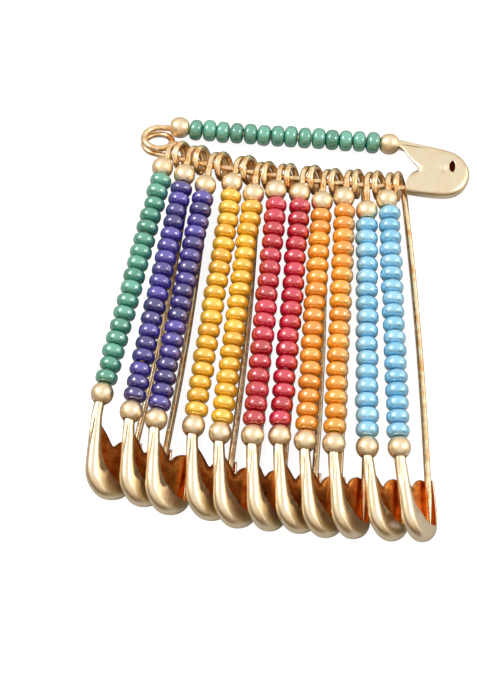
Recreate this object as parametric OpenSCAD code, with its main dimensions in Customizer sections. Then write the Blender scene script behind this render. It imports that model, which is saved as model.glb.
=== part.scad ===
// Safety pin brooch: one large safety pin with eleven small beaded safety pins hanging side by side
// from its sharp arm. Everything lies on a flat surface, Z up, the large pin along X.
// Each pin is drawn in its own frame: X along the fixed arm from the coil to the cap, Y from the
// fixed arm towards the sharp arm, Z towards the cap's open side.

/* [Wire] */
// diameter of the spring wire
wire_d = 0.9; // [0.7:0.05:1.1]
// climb of a coil's first half turn, which carries the wire clear of the beads
first_climb = 0.7; // [0.5:0.05:1.2]
// climb of a coil's closed full turn
coil_pitch = 0.95; // [0.92:0.01:1.2]
// distance of the two arms where they enter the cap
arm_gap = 7.3; // [6.5:0.1:8]
// length of the tapered point
point_len = 4; // [2:0.5:6]
// distance from the point to the end of the cap
point_inset = 3; // [2.6:0.1:4]

/* [Large pin] */
// middle radius of the large coil
bar_coil_r = 2.05; // [1.8:0.05:2.5]
// length from the coil's middle to the end of the cap
bar_len = 45.4; // [40:0.2:50]
// lean of the large coil against its pin
bar_lean = 20; // [12:1:26]
// bow of the large pin's sharp arm
bar_bow = 0.9; // [0:0.1:1.5]
// lean of the large pin, its sharp arm lifted by the coils that hang on it
bar_roll = 5; // [2:0.5:9]
// height of the fixed arm over the table
bar_height = 1.65; // [1.6:0.05:2]

/* [Small pins] */
// middle radius of the small coils
small_coil_r = 1.75; // [1.6:0.05:2.1]
// length from the coil's middle to the end of the cap
small_len = 51.8; // [48:0.2:54]
// lean of the small coils against their pins
small_lean = 20; // [12:1:26]
// bow of the small pins' sharp arms
small_bow = 0.75; // [0:0.05:1.2]

/* [Cap] */
// thickness of the sheet metal
sheet_t = 0.24; // [0.2:0.02:0.3]
// distance from the cap's end to the bend of the fixed arm in the tube
neck_bend = 11; // [10:0.2:12]
// lean of the tube in the cap
neck_lean = 9; // [6:0.5:10]
// length of the fixed arm after its bend
neck_grip = 3; // [2:0.5:4]
// depth of the back plate at the V notch, at the middle and round the punched hole
plate_depth = [0.97, 1.06, 1.12];

/* [Beads] */
// outer diameter of the seed beads
seed_d = 2.96; // [2.8:0.02:3.2]
// hole of the seed beads
seed_hole = 1.16; // [1.1:0.01:1.2]
// outer diameter of the metal beads
spacer_d = 3.0; // [2.9:0.02:3.3]
// hole of the metal beads, wide enough to slide over a cap's neck
spacer_hole = 1.8; // [1.6:0.02:1.84]
// length of the metal beads along the wire
spacer_len = 2.6; // [2.4:0.05:2.8]
// beads close to a coil ride off the wire's middle, across and down
spacer_ride = [-0.06, -0.28];
// gap between neighbouring beads
bead_gap = 0.12; // [0.1:0.01:0.2]
// the bar's two metal beads along its arm, and its number of seed beads
bar_row = [3.0, 33.6, 14];

/* [Hidden] */
$fa = 6;
$fs = 0.3;
wire_r = wire_d / 2;
// the split between the arm that lifts and the coil
split = 0.2;
// middle of the large coil, seen from above
bar_x = -20.25;
bar_y = 26.6;
// start of the cap along the arm, from the cap's end
entry = 11.4;
// angle at which a sharp arm leaves its coil
arm_lead = 9;
// the guard's lowest edge: distance from the cap's end, place across, depth
guard_edge = [4, 7.5, 1];
// nearer the coil than this a metal bead rides off the wire's middle
ride_end = 3.5;
// rings along a coil and flats round a wire
coil_steps = 20;
wire_sides = 8;

X = 0; DROP = 1; LIFT = 2; ROLL = 3; TURN = 4; TOP = 5; LOW = 6; COUNT = 7;
// place along the bar, hang below the bar's sharp arm, height of coil and guard over the table,
// roll, heading, upper and lower metal bead, seed beads
PINS = [
    [3.4, -0.25, 0.2, 43, -7.6, 3.0, 38.5, 17],
    [6.3, -0.2, 0.28, 47, -5.6, 3.5, 40.1, 18],
    [9.5, 0.1, 0.26, 46, -5.3, 4.2, 40.1, 18],
    [13.3, -0.1, 0.2, 43, -3.5, 3.0, 40.1, 18],
    [16.2, 0.35, 0.26, 46, -2.6, 3.9, 40.1, 18],
    [19.3, 0.25, 0.37, 52, -1.1, 3.0, 40.1, 17],
    [22.85, -0.05, 0.24, 45, -0.9, 3.0, 39.7, 17],
    [25.8, 0.15, 0.28, 47, -0.3, 3.9, 39.8, 17],
    [28.95, 0, 0.35, 51, 0.4, 3.1, 40.1, 17],
    [31.9, 0, 0.3, 48, 2.6, 4.9, 40.1, 16],
    [34.75, 0, 0.41, 54, 4.2, 3.0, 40.1, 18],
];

// The cap's rim from the neck round the end to the guard. Columns: distance from the end, place across,
// inward direction, radius of the rolled edge, the roll's last angles, turned-over width.
RIM = [
    [12.2, -0.79, 94, 0.78, 90, 140, 196, 0],
    [10.2, -0.72, 97, 0.79, 90, 140, 194, 0],
    [9.4, -0.56, 99, 0.82, 90, 140, 190, 0],
    [8.2, -0.34, 99, 0.86, 90, 138, 184, 0],
    [6.4, -0.04, 99, 0.90, 90, 132, 174, 0],
    [4.6, 0.32, 101, 0.95, 90, 126, 156, 0.4],
    [3.1, 0.60, 107, 0.98, 90, 106, 124, 1.2],
    [1.95, 1.06, 122, 1.00, 90, 96, 106, 1.8],
    [0.94, 1.94, 140, 1.00, 90, 92, 98, 2.0],
    [0.14, 3.35, 163, 1.00, 90, 92, 98, 2.0],
    [0, 4.60, 180, 1.00, 90, 92, 98, 1.8],
    [0.3, 5.90, 197, 1.00, 90, 92, 98, 1.5],
    [0.95, 7.15, 214, 1.00, 84, 90, 98, 0.9],
    [2.0, 8.12, 240, 1.00, 62, 76, 90, 0.2],
    [3.3, 8.48, 263, 1.00, 34, 46, 58, 0],
    [5.35, 8.51, 270, 1.00, 22, 32, 42, 0],
    [7.4, 8.37, 275, 0.97, 20, 30, 40, 0],
    [8.6, 8.24, 275, 0.94, 18, 28, 38, 0],
    [9.3, 8.15, 274, 0.92, 16, 26, 36, 0],
];
// The back plate's inner line: neck, notch edge, apex, middle, punched hole, guard edge.
// Columns: distance from the end, place across, depth.
PLATE = [
    [12.2, 0.4, 0.64], [10.2, 0.56, 0.62], [9.4, 1.85, 0.9], [8.4, 3.4, 0.95], [7.2, 4.5, plate_depth[0]],
    [5.3, 4.3, plate_depth[1]], [3.4, 3.8, plate_depth[2]],
    [3.15, 3.32, plate_depth[2]], [2.7, 3.2, plate_depth[2]], [2.35, 3.45, plate_depth[2]],
    [2.25, 3.85, plate_depth[2]], [2.5, 4.22, plate_depth[2]], [2.98, 4.25, plate_depth[2]],
    [8.25, 4.95, 0.96], [8.9, 5.8, 0.94], [9.3, 6.7, 0.92],
];
// the plate point that each rim row reaches
LINK = [0, 1, 2, 3, 4, 5, 6, 7, 8, 9, 10, 11, 12, 6, 5, 4, 13, 14, 15];
// rim rows whose plate edge has sheet on both sides
INNER = [4, 5, 13, 14];

// The coil turns one and a half times, its axis leaning over the pin. It starts at the fixed arm,
// and the sharp arm runs from its end to the cap's guard, bowed outwards.
coil_h = first_climb + coil_pitch;
function from_coil(r, lean, p) = [
    p[0],
    (p[1] + r) * cos(lean) + (p[2] + coil_h / 2) * sin(lean),
    (p[2] + coil_h / 2) * cos(lean) - (p[1] + r) * sin(lean)
];
function coil_mid(r, lean) = from_coil(r, lean, [0, 0, 0]);
function coil_height(part) = part < 1 / 3 ? 3 * part * first_climb : first_climb + (1.5 * part - 0.5) * coil_pitch;
function coil_path(r, lean) = [
    for (k = [0:coil_steps])
        let (part = k / coil_steps, angle = 270 - (540 - arm_lead) * part)
        from_coil(r, lean, [r * cos(angle), r * sin(angle), coil_height(part) - coil_h / 2])
];
// a point of the sharp arm between the coil, part 0, and the cap's mouth, part 1
function arm_point(r, lean, length, bow, part) =
    let (path = coil_path(r, lean), from = path[coil_steps], to = [length - entry, arm_gap, 0])
    from + (to - from) * part + [0, bow * 4 * part * (1 - part), 0];
function sharp_path(r, lean, length, bow) = concat(
    [for (part = [0.12, 0.28, 0.46, 0.64, 0.82, 1]) arm_point(r, lean, length, bow, part)],
    [
        [length - point_inset - point_len, arm_gap + 0.1, 0],
        [length - point_inset - point_len / 2, arm_gap + 0.14, 0],
        [length - point_inset, arm_gap + 0.16, 0]
    ]
);
// the fixed arm from inside the cap's tube back to the coil
function fixed_path(length) = [
    [length - neck_bend + neck_grip, neck_grip * tan(neck_lean), 0],
    [length - neck_bend, 0, 0], [length - entry - 1.4, 0, 0], [length / 2, 0, 0], [1.2, 0, 0]
];
function fixed_thickness() = [0.88, 0.88, 0.94, 1, 1];

// One round wire through all points: rings square to the path, their flats turned by the coil's axis.
module wire(lean, path, thick) {
    up = [0, sin(lean), cos(lean)];
    last = len(path) - 1;
    ring_r = wire_r * sqrt(PI / (wire_sides / 2 * sin(360 / wire_sides)));
    rings = [for (i = [0:last])
        let (way = path[min(i + 1, last)] - path[max(i - 1, 0)],
             side = cross(way, up) / norm(cross(way, up)), top = cross(side, way) / norm(way))
        for (k = [0:wire_sides - 1])
            let (angle = 360 * (k + 0.5) / wire_sides)
            path[i] + thick[i] * ring_r * (cos(angle) * side + sin(angle) * top)];
    polyhedron(points = rings, faces = concat(
        [[for (k = [0:wire_sides - 1]) k]],
        [for (i = [0:last - 1]) for (k = [0:wire_sides - 1])
            let (a = i * wire_sides + k, b = i * wire_sides + (k + 1) % wire_sides)
            each [[a, a + wire_sides, b + wire_sides], [a, b + wire_sides, b]]],
        [[for (k = [wire_sides - 1:-1:0]) last * wire_sides + k]]
    ));
}

module coil_and_sharp_arm(r, lean, length, bow, fixed, fixed_thick) {
    path = concat(fixed, coil_path(r, lean), sharp_path(r, lean, length, bow));
    round_n = len(path) - len(fixed) - 2;
    wire(lean, path, concat(fixed_thick, [for (k = [1:round_n]) 1], [0.6, 0.15]));
}

// Sheet metal cap: a tube for the fixed arm, a back plate with a V notch and a punched hole,
// a turned-over rim round the end and a guard for the point.
function roll_point(row, angle, out, inset) =
    let (n = [cos(row[2]), sin(row[2])], c = [-row[0], row[1]] + row[3] * n, r = row[3] - inset)
    [c[0] + n[0] * (out - r * cos(angle)), c[1] + n[1] * (out - r * cos(angle)), r * sin(angle)];
function roll_angles(row) = [-90, -60, -30, 0, row[4] / 3, row[4] * 2 / 3, row[4], row[5], row[6]];
function roll_width(row) = [0, 0, 0, 0, 0, 0, 0, row[7] / 2, row[7]];
function rim_points(inset) = [
    for (row = RIM) for (k = [0:8]) roll_point(row, roll_angles(row)[k], roll_width(row)[k], inset)
];
function plate_points(inset) = [for (p = PLATE) [-p[0], p[1], inset - p[2]]];

module cap() {
    rows = len(RIM);
    cols = 9;
    rim_n = rows * cols;
    side_n = rim_n + len(PLATE);
    function rim(i, k) = i * cols + k;
    function plate(i) = rim_n + LINK[i];
    function inner(i) = len([for (m = INNER) if (m == i) 1]) > 0;
    points = concat(rim_points(0), plate_points(0), rim_points(sheet_t), plate_points(sheet_t));
    // one surface as triangles, then the same reversed on the inner points
    skin = [for (i = [0:rows - 2]) each concat(
        [for (k = [0:cols - 2]) each [
            [rim(i, k), rim(i, k + 1), rim(i + 1, k + 1)], [rim(i, k), rim(i + 1, k + 1), rim(i + 1, k)]]],
        [[plate(i), rim(i, 0), rim(i + 1, 0)]],
        [[plate(i), rim(i + 1, 0), plate(i + 1)]]
    )];
    // free edges, in the order that keeps the sheet's outside on the outer skin
    edges = concat(
        [for (i = [0:rows - 2]) [rim(i + 1, cols - 1), rim(i, cols - 1)]],
        [for (i = [0:rows - 2]) if (!inner(i)) [plate(i), plate(i + 1)]],
        [for (k = [0:cols - 2]) [rim(0, k + 1), rim(0, k)]], [[rim(0, 0), plate(0)]],
        [for (k = [0:cols - 2]) [rim(rows - 1, k), rim(rows - 1, k + 1)]], [[plate(rows - 1), rim(rows - 1, 0)]]
    );
    polyhedron(points = points, faces = concat(
        skin,
        [for (f = skin) [f[2] + side_n, f[1] + side_n, f[0] + side_n]],
        [for (e = edges) each [[e[0], e[1], e[1] + side_n], [e[0], e[1] + side_n, e[0] + side_n]]]
    ));
}

module seed_bead(length) {
    wall = (seed_d - seed_hole) / 2;
    rotate([0, 90, 0]) rotate_extrude() translate([(seed_hole + wall) / 2, 0]) {
        square([wall, length - wall], center = true);
        for (side = [-1, 1]) translate([0, side * (length - wall) / 2]) circle(d = wall);
    }
}

module seed_row(top, low, count) {
    length = (low - top - spacer_len - (count + 1) * bead_gap) / count;
    first = top + spacer_len / 2 + bead_gap + length / 2;
    for (i = [0:count - 1]) translate([first + i * (length + bead_gap), 0, 0]) seed_bead(length);
}

// a metal bead is a ball with flattened ends and a wide hole
module spacer() {
    hole = spacer_hole / 2;
    half = [[hole, 1], [0.68 * spacer_d / 2, 1], [0.9 * spacer_d / 2, 0.66], [spacer_d / 2, 0.22]];
    rotate([0, 90, 0]) rotate_extrude() polygon(concat(
        [for (p = half) [p[0], p[1] * spacer_len / 2]],
        [for (k = [3:-1:0]) [half[k][0], -half[k][1] * spacer_len / 2]]
    ));
}

// The large pin lies face up: its arms run along X, and its cap's open side faces the table.
module place_bar() {
    mid = coil_mid(bar_coil_r, bar_lean);
    // the coil's middle keeps its place seen from above while the pin leans
    across = mid[1] * cos(bar_roll) - mid[2] * sin(bar_roll);
    translate([bar_x, bar_y + across, bar_height]) rotate([180 - bar_roll, 0, 0]) children();
}

// how far the bowed sharp arm lies below the large coil's middle, seen from above
function bar_arm_drop(x) =
    let (p = arm_point(bar_coil_r, bar_lean, bar_len, bar_bow, x / (bar_len - entry)), mid = coil_mid(bar_coil_r, bar_lean))
    (p[1] - mid[1]) * cos(bar_roll) - (p[2] - mid[2]) * sin(bar_roll);

// A small pin rolls about its length until its cap's guard touches the table, coil threaded on the bar.
module place_small(i) {
    p = PINS[i];
    r = small_coil_r;
    mid = coil_mid(r, small_lean);
    coil_z = p[LIFT] + wire_r + max([for (q = coil_path(r, small_lean))
        (q[1] - mid[1]) * sin(p[ROLL]) - (q[2] - mid[2]) * cos(p[ROLL])]);
    start_z = coil_z + mid[1] * sin(p[ROLL]) - mid[2] * cos(p[ROLL]);
    guard_z = p[LIFT] + guard_edge[1] * sin(p[ROLL]) + guard_edge[2];
    climb = asin((guard_z - start_z) / (small_len - guard_edge[0]));
    translate([bar_x + p[X], bar_y - bar_arm_drop(p[X]) - p[DROP], coil_z])
        rotate([0, 0, p[TURN] - 90]) rotate([0, -climb, 0]) rotate([-p[ROLL], 0, 0])
            translate(-mid) children();
}

module bar_arm() {
    color("gold") place_bar()
        wire(0, concat(fixed_path(bar_len), [[split, 0, 0]]), concat(fixed_thickness(), [1]));
}

module bar_coil_arm() {
    color("gold") place_bar() coil_and_sharp_arm(bar_coil_r, bar_lean, bar_len, bar_bow, [], []);
}

module bar_cap() {
    color("khaki") place_bar() translate([bar_len, 0, 0]) cap();
}

module bar_beads() {
    color("seagreen") place_bar() seed_row(bar_row[0], bar_row[1], bar_row[2]);
}

module bar_spacers() {
    color("gold") place_bar() {
        translate([bar_row[0], spacer_ride[0], spacer_ride[1]]) spacer();
        translate([bar_row[1], 0, 0]) spacer();
    }
}

module pin_wire(i) {
    color("gold") place_small(i)
        coil_and_sharp_arm(small_coil_r, small_lean, small_len, small_bow, fixed_path(small_len), fixed_thickness());
}

module pin_cap(i) {
    color("khaki") place_small(i) translate([small_len, 0, 0]) cap();
}

module pin_beads(i) {
    color("seagreen") place_small(i) seed_row(PINS[i][TOP], PINS[i][LOW], PINS[i][COUNT]);
}

module pin_spacers(i) {
    ride = PINS[i][TOP] < ride_end ? spacer_ride : [0, 0];
    color("gold") place_small(i) {
        translate([PINS[i][TOP], ride[0], ride[1]]) spacer();
        translate([PINS[i][LOW], 0, 0]) spacer();
    }
}

bar_arm();
bar_coil_arm();
bar_cap();
bar_beads();
bar_spacers();
pin_wire(0);  // pin_01_wire
pin_cap(0);  // pin_01_cap
pin_beads(0);  // pin_01_beads
pin_spacers(0);  // pin_01_spacers
pin_wire(1);  // pin_02_wire
pin_cap(1);  // pin_02_cap
pin_beads(1);  // pin_02_beads
pin_spacers(1);  // pin_02_spacers
pin_wire(2);  // pin_03_wire
pin_cap(2);  // pin_03_cap
pin_beads(2);  // pin_03_beads
pin_spacers(2);  // pin_03_spacers
pin_wire(3);  // pin_04_wire
pin_cap(3);  // pin_04_cap
pin_beads(3);  // pin_04_beads
pin_spacers(3);  // pin_04_spacers
pin_wire(4);  // pin_05_wire
pin_cap(4);  // pin_05_cap
pin_beads(4);  // pin_05_beads
pin_spacers(4);  // pin_05_spacers
pin_wire(5);  // pin_06_wire
pin_cap(5);  // pin_06_cap
pin_beads(5);  // pin_06_beads
pin_spacers(5);  // pin_06_spacers
pin_wire(6);  // pin_07_wire
pin_cap(6);  // pin_07_cap
pin_beads(6);  // pin_07_beads
pin_spacers(6);  // pin_07_spacers
pin_wire(7);  // pin_08_wire
pin_cap(7);  // pin_08_cap
pin_beads(7);  // pin_08_beads
pin_spacers(7);  // pin_08_spacers
pin_wire(8);  // pin_09_wire
pin_cap(8);  // pin_09_cap
pin_beads(8);  // pin_09_beads
pin_spacers(8);  // pin_09_spacers
pin_wire(9);  // pin_10_wire
pin_cap(9);  // pin_10_cap
pin_beads(9);  // pin_10_beads
pin_spacers(9);  // pin_10_spacers
pin_wire(10);  // pin_11_wire
pin_cap(10);  // pin_11_cap
pin_beads(10);  // pin_11_beads
pin_spacers(10);  // pin_11_spacers
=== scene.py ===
"""Looks of a safety pin brooch: one large safety pin with eleven small beaded safety pins on its sharp arm.

Every pin is drawn in its own frame, in millimetres: X along the fixed arm from the coil to the cap, Y from
the fixed arm towards the sharp arm, Z towards the cap's open side. A placing matrix lays it on the surface
and turns it into metres.
"""

import math
import random

import bpy
from mathutils import Matrix, Vector


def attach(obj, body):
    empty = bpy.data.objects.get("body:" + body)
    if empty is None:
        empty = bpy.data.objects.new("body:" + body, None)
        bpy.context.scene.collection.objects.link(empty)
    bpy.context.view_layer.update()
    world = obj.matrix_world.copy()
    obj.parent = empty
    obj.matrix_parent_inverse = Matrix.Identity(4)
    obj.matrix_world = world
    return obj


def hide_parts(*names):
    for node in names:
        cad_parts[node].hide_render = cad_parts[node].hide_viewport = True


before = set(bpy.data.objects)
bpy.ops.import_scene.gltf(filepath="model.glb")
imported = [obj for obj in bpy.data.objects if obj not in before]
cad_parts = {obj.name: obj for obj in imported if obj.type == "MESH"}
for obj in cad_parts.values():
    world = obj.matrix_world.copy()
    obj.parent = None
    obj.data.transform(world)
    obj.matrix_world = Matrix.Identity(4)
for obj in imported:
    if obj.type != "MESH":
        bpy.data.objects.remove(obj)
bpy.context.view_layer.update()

MM = 0.001

# Wire and its coil of one and a half turns: start angle, turn in degrees, climb over the first half turn
# and over the whole turn after it, and the straight fixed arm's end before the coil
WIRE_R = 0.45
COIL_START = 270
COIL_TURN = 540
FIRST_CLIMB = 0.7
COIL_PITCH = 0.95
COIL_RISE = FIRST_CLIMB + COIL_PITCH
COIL_CLEAR = 0.4
# Sharp arm: its gap to the fixed arm, how many degrees short of the full coil it leaves, and how far from
# the cap's end it enters the cap
ARM_GAP = 7.3
ARM_LEAD = 9
CAP_ENTRY = 11.4
# Needle point: its length, how far it ends from the cap's end, the power of its taper, and its outward bend
# over a part of a sine wave in radians
POINT_LENGTH = 4
POINT_INSET = 3
POINT_SHAPE = 0.75
POINT_BEND = 0.16
POINT_BEND_TURN = 1.4
# Domed wire end: places from tip to wire as shares of its depth, widths as shares of the wire's
DOME_DEPTH = 0.5
DOME = [(0.0, 0.3), (0.25, 0.72), (0.6, 0.94)]
# Fineness of the wires' meshes, of the search for a coil's lowest point, and rounds of easing over corners
WIRE_SIDES = 20
ARM_STEPS = 60
POINT_STEPS = 24
COIL_STEPS = 140
GRIP_STEPS = 4
LOWEST_STEPS = 20
COIL_EASING = 8
ARM_EASING = 3

# The large pin and the small ones: coil radius, coil lean, length, bow of the sharp arm
LARGE = {"coil": 2.05, "lean": 20, "length": 45.4, "bow": 0.9}
SMALL = {"coil": 1.75, "lean": 20, "length": 51.8, "bow": 0.75}
# Where the large pin's fixed arm starts, and the roll about its length in degrees
LARGE_AT = (-20.25, 26.6, 1.65)
LARGE_ROLL = 5

# Sheet metal caps: thickness and rounds of subdivision
SHEET = 0.24
CAP_SMOOTHING = 2
# Fixed arm inside the neck: its bend from the cap's end, the slant after it in degrees, its length
NECK_BEND = 11
NECK_LEAN = 9
NECK_GRIP = 3
# Guard's edge: from the cap's end, across from the fixed arm, and its height over the pin's lift
GUARD_FROM_END = 4
GUARD_ACROSS = 7.5
GUARD_RISE = 1

# Millimetres to one unit of the sheet and wire UV map, flat and up the rolled edge
UV_FLAT = 10
UV_UP = 14

# Beads: width, hole, length, and how square the section is, where 2 is round; the source's length of a metal
# bead and the gap after it set the places of the seed beads
SEED_D = 3.1
SEED_HOLE = 1.1
SEED_SQUARE = 2.7
METAL_D = 3.08
METAL_HOLE = 1.7
METAL_LENGTH = 2.66
METAL_SQUARE = 2.0
CAD_METAL_LENGTH = 2.6
BEAD_GAP = 0.12
# A metal bead nearer to the coil than the ride's end sits off the wire's middle by this much
METAL_RIDE = (-0.06, -0.28)
RIDE_END = 3.5
# The wall of a bead's hole: places as shares of the length, radii as shares of the hole's width
BORE = [(0.46, 0.47), (0.3, 0.45), (-0.3, 0.45), (-0.46, 0.47)]
# How much beads differ: along and across the wire, in length and width, and tilt in degrees
SEED_SLIDE = 0.04
SEED_SWAY = 0.07
SEED_LENGTHS = (0.96, 1.03)
SEED_WIDTHS = (0.965, 1.02)
SEED_TILT = 4
METAL_TILT = 2
# Sides round a bead and rings along it
SEED_MESH = (28, 14)
METAL_MESH = (40, 20)
# The large pin's upper and lower metal bead and number of seed beads, and its two random seeds
LARGE_ROW = (3.0, 33.6, 14)
LARGE_SEEDS = (50, 51)
# A small pin's metal beads take its number and this as their random seed
METAL_SEED = 20

# Small pins: place along the bar, hang below it, height over the surface, roll, heading, upper and lower
# metal bead, number of seed beads, colour
PINS = [
    (3.4, -0.25, 0.2, 43, -7.6, 3.0, 38.5, 17, "sea_green"),
    (6.3, -0.2, 0.28, 47, -5.6, 3.5, 40.1, 18, "violet_blue"),
    (9.5, 0.1, 0.26, 46, -5.3, 4.2, 40.1, 18, "violet_blue"),
    (13.3, -0.1, 0.2, 43, -3.5, 3.0, 40.1, 18, "golden_yellow"),
    (16.2, 0.35, 0.26, 46, -2.6, 3.9, 40.1, 18, "golden_yellow"),
    (19.3, 0.25, 0.37, 52, -1.1, 3.0, 40.1, 17, "crimson"),
    (22.85, -0.05, 0.24, 45, -0.9, 3.0, 39.7, 17, "crimson"),
    (25.8, 0.15, 0.28, 47, -0.3, 3.9, 39.8, 17, "orange"),
    (28.95, 0, 0.35, 51, 0.4, 3.1, 40.1, 17, "orange"),
    (31.9, 0, 0.3, 48, 2.6, 4.9, 40.1, 16, "light_blue"),
    (34.75, 0, 0.41, 54, 4.2, 3.0, 40.1, 18, "light_blue"),
]

# The cap's rim from the neck round the end to the guard: distance from the end, place across, inward
# direction, radius of the rolled edge, the roll's last three angles, turned-over width
RIM = [
    (12.2, -0.79, 94, 0.78, 90, 140, 196, 0),
    (10.2, -0.72, 97, 0.79, 90, 140, 194, 0),
    (9.4, -0.56, 99, 0.82, 90, 140, 190, 0),
    (8.2, -0.34, 99, 0.86, 90, 138, 184, 0),
    (6.4, -0.04, 99, 0.90, 90, 132, 174, 0),
    (4.6, 0.32, 101, 0.95, 90, 126, 156, 0.4),
    (3.1, 0.60, 107, 0.98, 90, 106, 124, 1.2),
    (1.95, 1.06, 122, 1.00, 90, 96, 106, 1.8),
    (0.94, 1.94, 140, 1.00, 90, 92, 98, 2.0),
    (0.14, 3.35, 163, 1.00, 90, 92, 98, 2.0),
    (0, 4.60, 180, 1.00, 90, 92, 98, 1.8),
    (0.3, 5.90, 197, 1.00, 90, 92, 98, 1.5),
    (0.95, 7.15, 214, 1.00, 84, 90, 98, 0.9),
    (2.0, 8.12, 240, 1.00, 62, 76, 90, 0.2),
    (3.3, 8.48, 263, 1.00, 34, 46, 58, 0),
    (5.35, 8.51, 270, 1.00, 22, 32, 42, 0),
    (7.4, 8.37, 275, 0.97, 20, 30, 40, 0),
    (8.6, 8.24, 275, 0.94, 18, 28, 38, 0),
    (9.3, 8.15, 274, 0.92, 16, 26, 36, 0),
]
# The back plate's inner line from the neck along the notch, the punched hole's rim, and the guard's edge:
# distance from the end, place across, how far behind the fixed arm. The hole is drawn a little taller than
# in the source, so that it reads as a slit.
PLATE = [
    (12.2, 0.4, 0.64), (10.2, 0.56, 0.62), (9.4, 1.85, 0.9), (8.4, 3.4, 0.95), (7.2, 4.5, 0.97),
    (5.3, 4.3, 1.06), (3.2, 3.75, 1.12),
    (3.12, 2.9, 1.12), (2.7, 2.6, 1.12), (2.3, 2.95, 1.12),
    (2.28, 4.2, 1.12), (2.65, 4.8, 1.12), (3.12, 4.55, 1.12),
    (8.25, 4.95, 0.96), (8.9, 5.8, 0.94), (9.3, 6.7, 0.92),
]
# The plate point that each rim row reaches
LINK = [0, 1, 2, 3, 4, 5, 6, 7, 8, 9, 10, 11, 12, 6, 5, 4, 13, 14, 15]


def turn(axis, degrees):
    return Matrix.Rotation(math.radians(degrees), 4, axis)


def shift(x, y, z):
    return Matrix.Translation((x, y, z))


# Paths of the wires

def from_coil(pin, point):
    """A point of the upright coil, leaned over the pin."""
    lean = math.radians(pin["lean"])
    across = point[1] + pin["coil"]
    up = point[2] + COIL_RISE / 2
    return Vector((
        point[0],
        across * math.cos(lean) + up * math.sin(lean),
        up * math.cos(lean) - across * math.sin(lean),
    ))


def coil_path(pin, steps):
    """The coil from the fixed arm to the sharp arm."""
    points = []
    for k in range(steps + 1):
        part = k / steps
        angle = math.radians(COIL_START - (COIL_TURN - ARM_LEAD) * part)
        climb = 3 * part * FIRST_CLIMB if part < 1 / 3 else FIRST_CLIMB + (1.5 * part - 0.5) * COIL_PITCH
        ring = (pin["coil"] * math.cos(angle), pin["coil"] * math.sin(angle), climb - COIL_RISE / 2)
        points.append(from_coil(pin, ring))
    return points


def arm_point(pin, part):
    """A point of the sharp arm between the coil, part 0, and the cap's mouth, part 1."""
    start = coil_path(pin, 3)[-1]
    end = Vector((pin["length"] - CAP_ENTRY, ARM_GAP, 0))
    return start.lerp(end, part) + Vector((0, pin["bow"] * 4 * part * (1 - part), 0))


def sharp_arm_path(pin):
    """From the coil, bowed, to the cap's mouth and on inside the guard."""
    path = [arm_point(pin, k / ARM_STEPS) for k in range(2, ARM_STEPS + 1)]
    mouth = pin["length"] - CAP_ENTRY
    reach = CAP_ENTRY - POINT_INSET
    for k in range(1, POINT_STEPS + 1):
        bend = POINT_BEND * math.sin(k / POINT_STEPS * POINT_BEND_TURN)
        path.append(Vector((mouth + reach * k / POINT_STEPS, ARM_GAP + bend, 0)))
    return path


def fixed_arm_path(pin):
    """From inside the cap's tube back to the coil."""
    length = pin["length"]
    bend = Vector((length - NECK_BEND, 0, 0))
    grip = bend + Vector((NECK_GRIP, NECK_GRIP * math.tan(math.radians(NECK_LEAN)), 0))
    coil_end = Vector((COIL_CLEAR, 0, 0))
    path = [grip.lerp(bend, k / GRIP_STEPS) for k in range(GRIP_STEPS)]
    path += [bend.lerp(coil_end, k / ARM_STEPS) for k in range(ARM_STEPS + 1)]
    return path


def eased(path, rounds):
    """The path with its corners rounded, its two ends kept."""
    for _ in range(rounds):
        middle = [(a + b * 2 + c) / 4 for a, b, c in zip(path, path[1:], path[2:])]
        path = [path[0], *middle, path[-1]]
    return path


# Meshes

def new_mesh(name, points, faces, uvs=None, tones=None):
    """A mesh object; uvs is one pair a point, tones one number a point."""
    mesh = bpy.data.meshes.new(name)
    mesh.from_pydata([tuple(p) for p in points], [], faces)
    if uvs is not None:
        layer = mesh.uv_layers.new(name="sheet")
        for face in mesh.polygons:
            # a face over the seam of a round wire ends one turn on
            around = [uvs[v][1] for v in face.vertices]
            wraps = max(around) - min(around) > 0.5
            for loop, v in zip(face.loop_indices, face.vertices):
                u, across = uvs[v]
                layer.data[loop].uv = (u, across + 1 if wraps and across < 0.5 else across)
    if tones is not None:
        layer = mesh.attributes.new("tone", "FLOAT", "POINT")
        layer.data.foreach_set("value", tones)
    mesh.validate()
    for face in mesh.polygons:
        face.use_smooth = True
    obj = bpy.data.objects.new(name, mesh)
    bpy.context.scene.collection.objects.link(obj)
    return obj


def thickness_along(path, taper):
    """Length along the wire, and its thickness: 1, drawn to a point over the last taper millimetres."""
    along = [0.0]
    for a, b in zip(path, path[1:]):
        along.append(along[-1] + (b - a).length)
    return along, [min(1.0, (along[-1] - s) / taper) ** POINT_SHAPE if taper else 1.0 for s in along]


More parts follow.
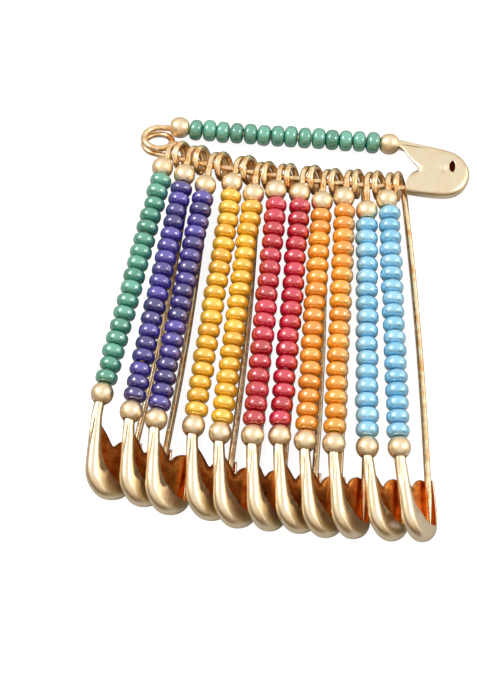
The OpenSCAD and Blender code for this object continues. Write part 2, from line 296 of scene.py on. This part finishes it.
def round_wire(name, path, lean, taper=0.0):
    """One round wire with rings square to its path; a rounded end, or a needle point."""
    up = Vector((0, math.sin(math.radians(lean)), math.cos(math.radians(lean))))
    along, thick = thickness_along(path, taper)
    rings = []
    for i, p in enumerate(path):
        way = (path[min(i + 1, len(path) - 1)] - path[max(i - 1, 0)]).normalized()
        rings.append((p, way, thick[i] * WIRE_R, along[i]))
    p, way, r, s = rings[0]
    head = [(p - way * (1 - d) * WIRE_R * DOME_DEPTH, way, r * width, s) for d, width in DOME]
    p, way, r, s = rings[-1]
    tail = [(p + way * (1 - d) * r * DOME_DEPTH, way, r * width, s) for d, width in DOME[::-1]]
    rings = head + rings + tail
    points, faces, uvs = [], [], []
    for p, way, r, s in rings:
        side = way.cross(up).normalized()
        top = side.cross(way)
        for k in range(WIRE_SIDES):
            angle = 2 * math.pi * k / WIRE_SIDES
            points.append(p + (side * math.cos(angle) + top * math.sin(angle)) * r)
            uvs.append((s / UV_FLAT, k / WIRE_SIDES))
    for i in range(len(rings) - 1):
        for k in range(WIRE_SIDES):
            a, b = i * WIRE_SIDES + k, i * WIRE_SIDES + (k + 1) % WIRE_SIDES
            faces.append((a, a + WIRE_SIDES, b + WIRE_SIDES, b))
    faces.append(tuple(range(WIRE_SIDES)))
    start = (len(rings) - 1) * WIRE_SIDES
    faces.append(tuple(range(start + WIRE_SIDES - 1, start - 1, -1)))
    return new_mesh(name, points, faces, uvs)


def roll_angles(top, over, last):
    """The angles of one rim row's points, from under the sheet up and over the rolled edge."""
    return [-90, -60, -30, 0, top / 3, top * 2 / 3, top, over, last]


def cap_skin(name):
    """The cap's outer skin as one open sheet, from its end at X 0 back to the neck."""
    points, faces = [], []
    for from_end, across, facing, radius, *roll, turned_over in RIM:
        inward = Vector((math.cos(math.radians(facing)), math.sin(math.radians(facing)), 0))
        centre = Vector((-from_end, across, 0)) + inward * radius
        for k, angle in enumerate(roll_angles(*roll)):
            a = math.radians(angle)
            # the last two points reach further in where the edge is turned over
            in_by = turned_over * max(0, k - 6) / 2 - radius * math.cos(a)
            points.append(centre + inward * in_by + Vector((0, 0, radius * math.sin(a))))
    cols = len(points) // len(RIM)
    plate = len(points)
    points += [Vector((-p[0], p[1], -p[2])) for p in PLATE]
    for i in range(len(RIM) - 1):
        for k in range(cols - 1):
            faces.append((i * cols + k, (i + 1) * cols + k, (i + 1) * cols + k + 1, i * cols + k + 1))
        here, there = plate + LINK[i], plate + LINK[i + 1]
        quad = [here, there, (i + 1) * cols, i * cols]
        faces.append(tuple(dict.fromkeys(quad)))
    uvs = [(p.x / UV_FLAT, p.y / UV_FLAT + p.z / UV_UP) for p in points]
    return new_mesh(name, points, faces, uvs)


def bead_profile(length, diameter, hole, square, rings):
    """Half of a bead's section, along its hole and out from its middle: outside first, then the hole."""
    reach = math.acos((hole / diameter) ** (square / 2))
    profile = []
    for i in range(rings + 1):
        a = reach * (2 * i / rings - 1)
        bulge = (abs(math.sin(a)) / math.sin(reach)) ** (2 / square)
        profile.append((math.copysign(length / 2 * bulge, a), diameter / 2 * math.cos(a) ** (2 / square)))
    return profile + [(length * along, hole * out) for along, out in BORE]


def bead_mesh(name, beads, sides, rings):
    """Beads on one string. Each is (place, length, diameter, hole, squareness, tilt matrix, tone)."""
    points, faces, tones = [], [], []
    for place, length, diameter, hole, square, tilt, tone in beads:
        start = len(points)
        profile = bead_profile(length, diameter, hole, square, rings)
        for along, out in profile:
            for k in range(sides):
                b = 2 * math.pi * k / sides
                points.append(place + tilt @ Vector((along, out * math.cos(b), out * math.sin(b))))
                tones.append(tone)
        rows = len(profile)
        for i in range(rows):
            for k in range(sides):
                a = start + i * sides + k
                b = start + i * sides + (k + 1) % sides
                c = start + (i + 1) % rows * sides + (k + 1) % sides
                d = start + (i + 1) % rows * sides + k
                faces.append((a, b, c, d))
    return new_mesh(name, points, faces, None, tones)


def seed_beads(name, top, low, count, seed):
    """Seed beads between two metal beads, each a little different and a little askew."""
    rng = random.Random(seed)
    pitch = (low - top - CAD_METAL_LENGTH - BEAD_GAP) / count
    beads = []
    for i in range(count):
        place = Vector((top + (CAD_METAL_LENGTH + BEAD_GAP + pitch) / 2 + i * pitch, 0, 0))
        place += Vector([rng.uniform(-most, most) for most in (SEED_SLIDE, SEED_SWAY, SEED_SWAY)])
        length = pitch * rng.uniform(*SEED_LENGTHS)
        diameter = SEED_D * rng.uniform(*SEED_WIDTHS)
        tilt = turn("Z", rng.uniform(-SEED_TILT, SEED_TILT)) @ turn("Y", rng.uniform(-SEED_TILT, SEED_TILT))
        beads.append((place, length, diameter, SEED_HOLE, SEED_SQUARE, tilt.to_3x3(), rng.random()))
    return bead_mesh(name, beads, *SEED_MESH)


def metal_beads(name, top, low, ride, seed):
    """Two metal balls with a wide hole, the ends of a string."""
    rng = random.Random(seed)
    beads = []
    for place in (Vector((top, *ride)), Vector((low, 0, 0))):
        tilt = turn("Z", rng.uniform(-METAL_TILT, METAL_TILT)).to_3x3()
        beads.append((place, METAL_LENGTH, METAL_D, METAL_HOLE, METAL_SQUARE, tilt, rng.random()))
    return bead_mesh(name, beads, *METAL_MESH)


# Shader groups and materials

# Sockets of the Mix node when it mixes colours
MIX_FIRST = 6
MIX_SECOND = 7
MIX_RESULT = 2
# How far one bead's shade can lie from the dark colour towards the light one
BEAD_SPREAD = 0.6


def new_group(name, inputs, outputs):
    """A node group with named sockets; inputs are name, type, default value."""
    group = bpy.data.node_groups.new(name, "ShaderNodeTree")
    for label, kind, value in inputs:
        socket = group.interface.new_socket(label, in_out="INPUT", socket_type=kind)
        socket.default_value = value
    for label, kind in outputs:
        group.interface.new_socket(label, in_out="OUTPUT", socket_type=kind)
    ins = group.nodes.new("NodeGroupInput")
    outs = group.nodes.new("NodeGroupOutput")
    return group, ins.outputs, outs.inputs


def add(tree, kind, **values):
    """A node with some of its settings and unlinked sockets filled in."""
    node = tree.nodes.new("ShaderNode" + kind)
    for key, value in values.items():
        if hasattr(node, key):
            setattr(node, key, value)
        else:
            node.inputs[key.replace("_", " ")].default_value = value
    return node


def link(tree, source, target):
    tree.links.new(source, target)


def make_drawn_streaks():
    """Fine streaks along the sheet or wire, for a mask and a height."""
    group, ins, outs = new_group(
        "drawn_streaks",
        [("Along", "NodeSocketFloat", 1.0), ("Across", "NodeSocketFloat", 40.0)],
        [("Mask", "NodeSocketFloat")],
    )
    uv = add(group, "UVMap", uv_map="sheet")
    axes = add(group, "SeparateXYZ")
    link(group, uv.outputs[0], axes.inputs[0])
    along = add(group, "Math", operation="MULTIPLY")
    across = add(group, "Math", operation="MULTIPLY")
    link(group, axes.outputs["X"], along.inputs[0])
    link(group, ins["Along"], along.inputs[1])
    link(group, axes.outputs["Y"], across.inputs[0])
    link(group, ins["Across"], across.inputs[1])
    point = add(group, "CombineXYZ")
    link(group, along.outputs[0], point.inputs["X"])
    link(group, across.outputs[0], point.inputs["Y"])
    noise = add(group, "TexNoise", Scale=1.0, Detail=3.0, Roughness=0.6)
    link(group, point.outputs[0], noise.inputs["Vector"])
    link(group, noise.outputs["Fac"], outs["Mask"])
    return group


def make_rubbed_patches():
    """Cloudy patches where the plating is rubbed or dulled."""
    group, ins, outs = new_group(
        "rubbed_patches",
        [
            ("Scale", "NodeSocketFloat", 900.0),
            ("From", "NodeSocketFloat", 0.45),
            ("To", "NodeSocketFloat", 0.65),
        ],
        [("Mask", "NodeSocketFloat")],
    )
    place = add(group, "TexCoord")
    noise = add(group, "TexNoise", Detail=4.0, Roughness=0.6)
    link(group, place.outputs["Object"], noise.inputs["Vector"])
    link(group, ins["Scale"], noise.inputs["Scale"])
    spread = add(group, "MapRange")
    link(group, noise.outputs["Fac"], spread.inputs["Value"])
    link(group, ins["From"], spread.inputs["From Min"])
    link(group, ins["To"], spread.inputs["From Max"])
    link(group, spread.outputs["Result"], outs["Mask"])
    return group


def make_bead_tone():
    """One bead's own shade between two colours, with faint clouds in the glass."""
    group, ins, outs = new_group(
        "bead_tone",
        [
            ("Dark", "NodeSocketColor", (0, 0, 0, 1)),
            ("Light", "NodeSocketColor", (1, 1, 1, 1)),
            ("Clouds", "NodeSocketFloat", 0.3),
        ],
        [("Color", "NodeSocketColor")],
    )
    tone = add(group, "Attribute", attribute_name="tone")
    place = add(group, "TexCoord")
    noise = add(group, "TexNoise", Scale=600.0, Detail=3.0)
    link(group, place.outputs["Object"], noise.inputs["Vector"])
    cloud = add(group, "Math", operation="MULTIPLY")
    link(group, noise.outputs["Fac"], cloud.inputs[0])
    link(group, ins["Clouds"], cloud.inputs[1])
    total = add(group, "Math", operation="MULTIPLY_ADD", use_clamp=True)
    link(group, tone.outputs["Fac"], total.inputs[0])
    total.inputs[1].default_value = BEAD_SPREAD
    link(group, cloud.outputs[0], total.inputs[2])
    mix = add(group, "Mix", data_type="RGBA")
    link(group, total.outputs[0], mix.inputs[0])
    link(group, ins["Dark"], mix.inputs[MIX_FIRST])
    link(group, ins["Light"], mix.inputs[MIX_SECOND])
    link(group, mix.outputs[MIX_RESULT], outs["Color"])
    return group


def make_pressed_mark():
    """One long or round mark pressed into the sheet, 1 in its middle and 0 outside."""
    group, ins, outs = new_group(
        "pressed_mark",
        [
            ("Place", "NodeSocketVector", (0, 0, 0)),
            ("Turn", "NodeSocketVector", (0, 0, 0)),
            ("Size", "NodeSocketVector", (1, 1, 1)),
        ],
        [("Mask", "NodeSocketFloat")],
    )
    uv = add(group, "UVMap", uv_map="sheet")
    fit = add(group, "Mapping", vector_type="TEXTURE")
    link(group, uv.outputs[0], fit.inputs["Vector"])
    link(group, ins["Place"], fit.inputs["Location"])
    link(group, ins["Turn"], fit.inputs["Rotation"])
    link(group, ins["Size"], fit.inputs["Scale"])
    spot = add(group, "TexGradient", gradient_type="SPHERICAL")
    link(group, fit.outputs[0], spot.inputs[0])
    soft = add(group, "MapRange", interpolation_type="SMOOTHSTEP")
    link(group, spot.outputs["Fac"], soft.inputs["Value"])
    link(group, soft.outputs["Result"], outs["Mask"])
    return group


DRAWN_STREAKS = make_drawn_streaks()
RUBBED_PATCHES = make_rubbed_patches()
BEAD_TONE = make_bead_tone()
PRESSED_MARK = make_pressed_mark()


def new_material(name):
    """A material with one Principled shader, and its tree."""
    material = bpy.data.materials.new(name)
    material.use_nodes = True
    tree = material.node_tree
    return material, tree, tree.nodes["Principled BSDF"]


def placed(tree, group, **values):
    """A shader group in a material, with its sockets filled in."""
    node = tree.nodes.new("ShaderNodeGroup")
    node.node_tree = group
    for key, value in values.items():
        node.inputs[key].default_value = value
    return node


def set_colour(tree, shader, mask, bright, worn):
    """The colour goes from bright to worn with the mask."""
    colour = add(tree, "Mix", data_type="RGBA")
    colour.inputs[MIX_FIRST].default_value = (*bright, 1)
    colour.inputs[MIX_SECOND].default_value = (*worn, 1)
    link(tree, mask, colour.inputs[0])
    link(tree, colour.outputs[MIX_RESULT], shader.inputs["Base Color"])


def set_gloss(tree, shader, mask, smoothest, roughest):
    """The roughness follows the mask."""
    gloss = add(tree, "MapRange", To_Min=smoothest, To_Max=roughest)
    link(tree, mask, gloss.inputs["Value"])
    link(tree, gloss.outputs["Result"], shader.inputs["Roughness"])


def noise_bump(tree, scale, strength, depth):
    """Soft bumps all over the piece; depth in millimetres."""
    place = add(tree, "TexCoord")
    noise = add(tree, "TexNoise", Scale=scale, Detail=2.0)
    link(tree, place.outputs["Object"], noise.inputs["Vector"])
    bump = add(tree, "Bump", Strength=strength, Distance=depth * MM)
    link(tree, noise.outputs["Fac"], bump.inputs["Height"])
    return bump.outputs["Normal"]


def gold_plate(name, bright, worn, rough, streaks, relief, marks=()):
    """Plated sheet or wire with drawn streaks, rubbed patches and marks (place, turn, size, depth)."""
    material, tree, shader = new_material(name)
    shader.inputs["Metallic"].default_value = 1.0
    drawn = placed(tree, DRAWN_STREAKS, Along=streaks[0], Across=streaks[1])
    patches = placed(tree, RUBBED_PATCHES)
    set_colour(tree, shader, patches.outputs["Mask"], bright, worn)
    set_gloss(tree, shader, drawn.outputs["Mask"], *rough)
    bump = add(tree, "Bump", Strength=relief, Distance=STREAK_DEPTH * MM)
    link(tree, drawn.outputs["Mask"], bump.inputs["Height"])
    for place, degrees, size, depth in marks:
        turned = (0, 0, math.radians(degrees))
        mark = placed(tree, PRESSED_MARK, Place=(*place, 0), Turn=turned, Size=(*size, 1))
        press = add(tree, "Bump", Strength=1.0, Distance=depth * MM, invert=True)
        link(tree, mark.outputs["Mask"], press.inputs["Height"])
        link(tree, bump.outputs["Normal"], press.inputs["Normal"])
        bump = press
    link(tree, bump.outputs["Normal"], shader.inputs["Normal"])
    return material


def gold_satin(name, bright, worn, rough):
    """Cast metal beads: satin, faintly pitted."""
    material, tree, shader = new_material(name)
    shader.inputs["Metallic"].default_value = 1.0
    patches = placed(tree, RUBBED_PATCHES, Scale=1400.0, From=0.4, To=0.7)
    set_colour(tree, shader, patches.outputs["Mask"], bright, worn)
    set_gloss(tree, shader, patches.outputs["Mask"], *rough)
    pits = noise_bump(tree, scale=2600.0, strength=0.25, depth=0.05)
    link(tree, pits, shader.inputs["Normal"])
    return material


def lustre_glass(name, dark, light):
    """Opaque glass with a pearly lustre: a soft metallic sheen under a clear skin."""
    material, tree, shader = new_material(name)
    tone = placed(tree, BEAD_TONE, Dark=(*dark, 1), Light=(*light, 1))
    link(tree, tone.outputs["Color"], shader.inputs["Base Color"])
    shader.inputs["Metallic"].default_value = 0.5
    shader.inputs["Coat Weight"].default_value = 1.0
    shader.inputs["Coat IOR"].default_value = 2.2
    shader.inputs["Coat Roughness"].default_value = 0.13
    patches = placed(tree, RUBBED_PATCHES, Scale=1200.0, From=0.3, To=0.7)
    set_gloss(tree, shader, patches.outputs["Mask"], smoothest=0.28, roughest=0.44)
    ripple = noise_bump(tree, scale=700.0, strength=0.8, depth=0.1)
    link(tree, ripple, shader.inputs["Normal"])
    link(tree, ripple, shader.inputs["Coat Normal"])
    return material


# Depth of the drawn streaks in millimetres
STREAK_DEPTH = 0.04
# Pressed marks on the caps, in the sheet's UV map: a crease along the rolled edge and a dimple beside the
# punched hole
CAP_MARKS = [((-0.85, -0.015), 6, (0.33, 0.04), 0.15), ((-0.4, 0.35), 0, (0.09, 0.1), 0.2)]
WIRE_GOLD = gold_plate(
    "wire_gold", bright=(0.98, 0.8, 0.52), worn=(0.82, 0.43, 0.15), rough=(0.2, 0.36), streaks=(1, 6),
    relief=0.06,
)
CAP_GOLD = gold_plate(
    "cap_gold", bright=(0.91, 0.79, 0.58), worn=(0.89, 0.73, 0.48), rough=(0.22, 0.42), streaks=(3, 40),
    relief=0.3, marks=CAP_MARKS,
)
# Painted shade and reflection: the caps' inner faces are a darker, deeper orange than the gold outside,
# standing in for the shade and warm reflections inside the hollow
CAP_INSIDE_SHADE = gold_plate(
    "cap_inside_painted_shade", bright=(0.85, 0.32, 0.07), worn=(0.6, 0.14, 0.02), rough=(0.22, 0.45),
    streaks=(3, 30), relief=0.6,
)
BEAD_GOLD = gold_satin("bead_gold", bright=(0.95, 0.82, 0.6), worn=(0.92, 0.7, 0.42), rough=(0.36, 0.52))
# Dark and light shade of each colour of glass
SHADES = {
    "sea_green": ((0.015, 0.2, 0.13), (0.12, 0.44, 0.33)),
    "violet_blue": ((0.004, 0.001, 0.08), (0.08, 0.05, 0.46)),
    "golden_yellow": ((0.7, 0.34, 0.003), (0.9, 0.56, 0.03)),
    "crimson": ((0.4, 0.0, 0.006), (0.66, 0.006, 0.06)),
    "orange": ((0.7, 0.23, 0.004), (0.9, 0.4, 0.02)),
    "light_blue": ((0.12, 0.42, 0.64), (0.34, 0.68, 0.9)),
}
GLASS = {colour: lustre_glass(colour + "_glass", *shades) for colour, shades in SHADES.items()}


# Placing

def down_from_arm(point):
    """How far a point of the large pin lies from its fixed arm, seen from above."""
    roll = math.radians(LARGE_ROLL)
    return point.y * math.cos(roll) - point.z * math.sin(roll)


def large_place():
    """The large pin lies face up, its cap's open side to the surface, its sharp arm lifted."""
    x, y, z = LARGE_AT
    middle = from_coil(LARGE, (0, 0, 0))
    return Matrix.Scale(MM, 4) @ shift(x, y + down_from_arm(middle), z) @ turn("X", 180 - LARGE_ROLL)


def bar_arm_drop(x):
    """How far the large pin's bowed sharp arm lies below its coil's middle, seen from above."""
    arm = arm_point(LARGE, x / (LARGE["length"] - CAP_ENTRY))
    return down_from_arm(arm) - down_from_arm(from_coil(LARGE, (0, 0, 0)))


def small_place(x, hang, lift, roll, heading):
    """A small pin rolls and tips until its guard is close over the surface, its coil threaded on the bar."""
    middle = from_coil(SMALL, (0, 0, 0))
    sin, cos = math.sin(math.radians(roll)), math.cos(math.radians(roll))
    coil = coil_path(SMALL, LOWEST_STEPS)
    below = max((point.y - middle.y) * sin - (point.z - middle.z) * cos for point in coil)
    coil_z = lift + WIRE_R + below
    start_z = coil_z + middle.y * sin - middle.z * cos
    guard_z = lift + GUARD_ACROSS * sin + GUARD_RISE
    climb = math.degrees(math.asin((guard_z - start_z) / (SMALL["length"] - GUARD_FROM_END)))
    at = Matrix.Scale(MM, 4) @ shift(LARGE_AT[0] + x, LARGE_AT[1] - bar_arm_drop(x) - hang, coil_z)
    return at @ turn("Z", heading - 90) @ turn("Y", -climb) @ turn("X", -roll) @ Matrix.Translation(-middle)


def settle(obj, place, body, node, materials):
    """Lays a piece in place, on its body, instead of its plain node."""
    obj.data.transform(place)
    for material in materials:
        obj.data.materials.append(material)
    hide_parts(node)
    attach(obj, body)


def thicken(obj):
    """Rounds the cap's skin and gives it the sheet's thickness, its inside a painted shade of darker, deeper
    orange.
    """
    smooth = obj.modifiers.new("round", "SUBSURF")
    smooth.levels = smooth.render_levels = CAP_SMOOTHING
    sheet = obj.modifiers.new("sheet", "SOLIDIFY")
    sheet.thickness = SHEET * MM
    sheet.offset = -1
    # the inner faces take the second material, the painted shade
    sheet.material_offset = 1
    sheet.material_offset_rim = 0


def make_cap(name, place, body, node):
    """One cap, placed from its closed end."""
    skin = cap_skin(name)
    settle(skin, place, body, node, [CAP_GOLD, CAP_INSIDE_SHADE])
    thicken(skin)


def make_large_pin():
    """The bar: its fixed arm, beads and cap lift on the catch joint, its coil and sharp arm stay."""
    place = large_place()
    top, low, count = LARGE_ROW
    arm = round_wire("large_fixed_arm", eased(fixed_arm_path(LARGE) + [Vector((0, 0, 0))], ARM_EASING), 0)
    settle(arm, place, "catch_arm", "bar_arm", [WIRE_GOLD])
    path = eased(coil_path(LARGE, COIL_STEPS) + sharp_arm_path(LARGE), COIL_EASING)
    coil = round_wire("large_coil_and_sharp_arm", path, LARGE["lean"], POINT_LENGTH)
    settle(coil, place, "pins", "bar_coil_arm", [WIRE_GOLD])
    make_cap("large_cap", place @ shift(LARGE["length"], 0, 0), "catch_arm", "bar_cap")
    seeds = seed_beads("large_seed_beads", top, low, count, LARGE_SEEDS[0])
    settle(seeds, place, "catch_arm", "bar_beads", [GLASS["sea_green"]])
    metal = metal_beads("large_metal_beads", top, low, METAL_RIDE, LARGE_SEEDS[1])
    settle(metal, place, "catch_arm", "bar_spacers", [BEAD_GOLD])


def make_small_pin(number, x, hang, lift, roll, heading, top, low, count, colour):
    """One hanging pin; its values are a row of PINS."""
    place = small_place(x, hang, lift, roll, heading)
    node = f"pin_{number:02d}_"
    name = f"small_{number:02d}_"
    path = fixed_arm_path(SMALL) + coil_path(SMALL, COIL_STEPS) + sharp_arm_path(SMALL)
    wire = round_wire(name + "wire", eased(path, COIL_EASING), SMALL["lean"], POINT_LENGTH)
    settle(wire, place, "pins", node + "wire", [WIRE_GOLD])
    make_cap(name + "cap", place @ shift(SMALL["length"], 0, 0), "pins", node + "cap")
    seeds = seed_beads(name + "seed_beads", top, low, count, number)
    settle(seeds, place, "pins", node + "beads", [GLASS[colour]])
    ride = METAL_RIDE if top < RIDE_END else (0, 0)
    metal = metal_beads(name + "metal_beads", top, low, ride, number + METAL_SEED)
    settle(metal, place, "pins", node + "spacers", [BEAD_GOLD])


make_large_pin()
for number, row in enumerate(PINS, 1):
    make_small_pin(number, *row)


# Floor, light and camera

# Floor: half its width in metres, its colour and roughness, its glow to the camera
FLOOR_HALF = 2.0
PAPER = (0.28, 0.27, 0.26)
PAPER_ROUGH = 0.9
PAPER_GLOW = 0.9
# Studio from low to high: place on the ramp and colour; and how much the far side counts as higher
STUDIO = [(0.12, (0.12, 0.06, 0.02)), (0.36, (0.78, 0.61, 0.4)), (0.72, (0.92, 0.9, 0.87))]
STUDIO_SLOPE = 0.3
# Soft lights, aimed at the middle: name, place, size, power, and whether the metal mirrors it
LIGHTS = [
    ("key", (-0.4, 0.15, 0.45), (0.4, 0.36), 3.0, False),
    ("key_sheen", (-0.36, 0.135, 0.405), (0.2, 0.18), 1.05, True),
    ("side", (0.42, 0.05, 0.4), (0.2, 0.28), 1.2, False),
    ("side_sheen", (0.38, 0.045, 0.36), (0.1, 0.16), 0.45, True),
    ("right_card", (0.5, 0.15, 0.14), (0.6, 0.26), 0.5, True),
]
# Camera: the point it looks at and its distance in millimetres, degrees from upright and round to the
# side, lens and sensor in millimetres, nearest visible distance in metres
LOOK_AT = (-6.05, -3.8, 3)
CAMERA_DISTANCE = 190
CAMERA_DOWN = 20
CAMERA_SWING = 4.6
LENS = 73.3
SENSOR = 36
NEAREST = 0.01


def make_floor():
    half = FLOOR_HALF
    corners = [(-half, -half, 0), (half, -half, 0), (half, half, 0), (-half, half, 0)]
    floor = new_mesh("floor", corners, [(0, 1, 2, 3)])
    material, tree, shader = new_material("pale_paper")
    shader.inputs["Base Color"].default_value = (*PAPER, 1)
    shader.inputs["Roughness"].default_value = PAPER_ROUGH
    shader.inputs["Specular IOR Level"].default_value = 0.1
    shader.inputs["Emission Color"].default_value = (1, 1, 1, 1)
    # lit from below like a light table where it is looked at, dull where the metal mirrors it
    path = add(tree, "LightPath")
    glow = add(tree, "Math", operation="MULTIPLY")
    glow.inputs[1].default_value = PAPER_GLOW
    link(tree, path.outputs["Is Camera Ray"], glow.inputs[0])
    link(tree, glow.outputs[0], shader.inputs["Emission Strength"])
    floor.data.materials.append(material)


def soft_box(name, at, size, power, mirrored):
    """A soft light; one that is not mirrored lights the glass but leaves no glare on the metal."""
    data = bpy.data.lights.new(name, "AREA")
    data.shape = "RECTANGLE"
    data.size, data.size_y = size
    data.energy = power
    light = bpy.data.objects.new(name, data)
    light.visible_glossy = mirrored
    light.location = at
    light.rotation_euler = (-Vector(at)).to_track_quat("-Z", "Y").to_euler()
    bpy.context.scene.collection.objects.link(light)


def make_world():
    """A pale studio, warm and dim low down, which the metal mirrors."""
    world = bpy.data.worlds.new("studio")
    world.use_nodes = True
    tree = world.node_tree
    back = tree.nodes["Background"]
    place = add(tree, "TexCoord")
    axes = add(tree, "SeparateXYZ")
    link(tree, place.outputs["Generated"], axes.inputs[0])
    ramp = add(tree, "ValToRGB")
    stops = ramp.color_ramp.elements
    low, middle, high = STUDIO
    stops[0].position, stops[0].color = low[0], (*low[1], 1)
    stops[1].position, stops[1].color = high[0], (*high[1], 1)
    stops.new(middle[0]).color = (*middle[1], 1)
    slope = add(tree, "Math", operation="MULTIPLY_ADD")
    link(tree, axes.outputs["Y"], slope.inputs[0])
    slope.inputs[1].default_value = STUDIO_SLOPE
    link(tree, axes.outputs["Z"], slope.inputs[2])
    link(tree, slope.outputs[0], ramp.inputs[0])
    link(tree, ramp.outputs["Color"], back.inputs["Color"])
    back.inputs["Strength"].default_value = 1.0
    bpy.context.scene.world = world


def make_camera():
    """Looks down at the brooch from the caps' side."""
    down, swing = math.radians(CAMERA_DOWN), math.radians(CAMERA_SWING)
    back = Vector((math.sin(down) * math.sin(swing), -math.sin(down) * math.cos(swing), math.cos(down)))
    data = bpy.data.cameras.new("camera")
    data.lens = LENS
    data.sensor_width = SENSOR
    data.clip_start = NEAREST
    camera = bpy.data.objects.new("camera", data)
    camera.location = Vector(LOOK_AT) * MM + back * (CAMERA_DISTANCE * MM)
    camera.rotation_euler = (down, 0, swing)
    bpy.context.scene.collection.objects.link(camera)
    bpy.context.scene.camera = camera


make_floor()
make_world()
for light_row in LIGHTS:
    soft_box(*light_row)
make_camera()
bpy.context.scene.view_settings.view_transform = "Standard"
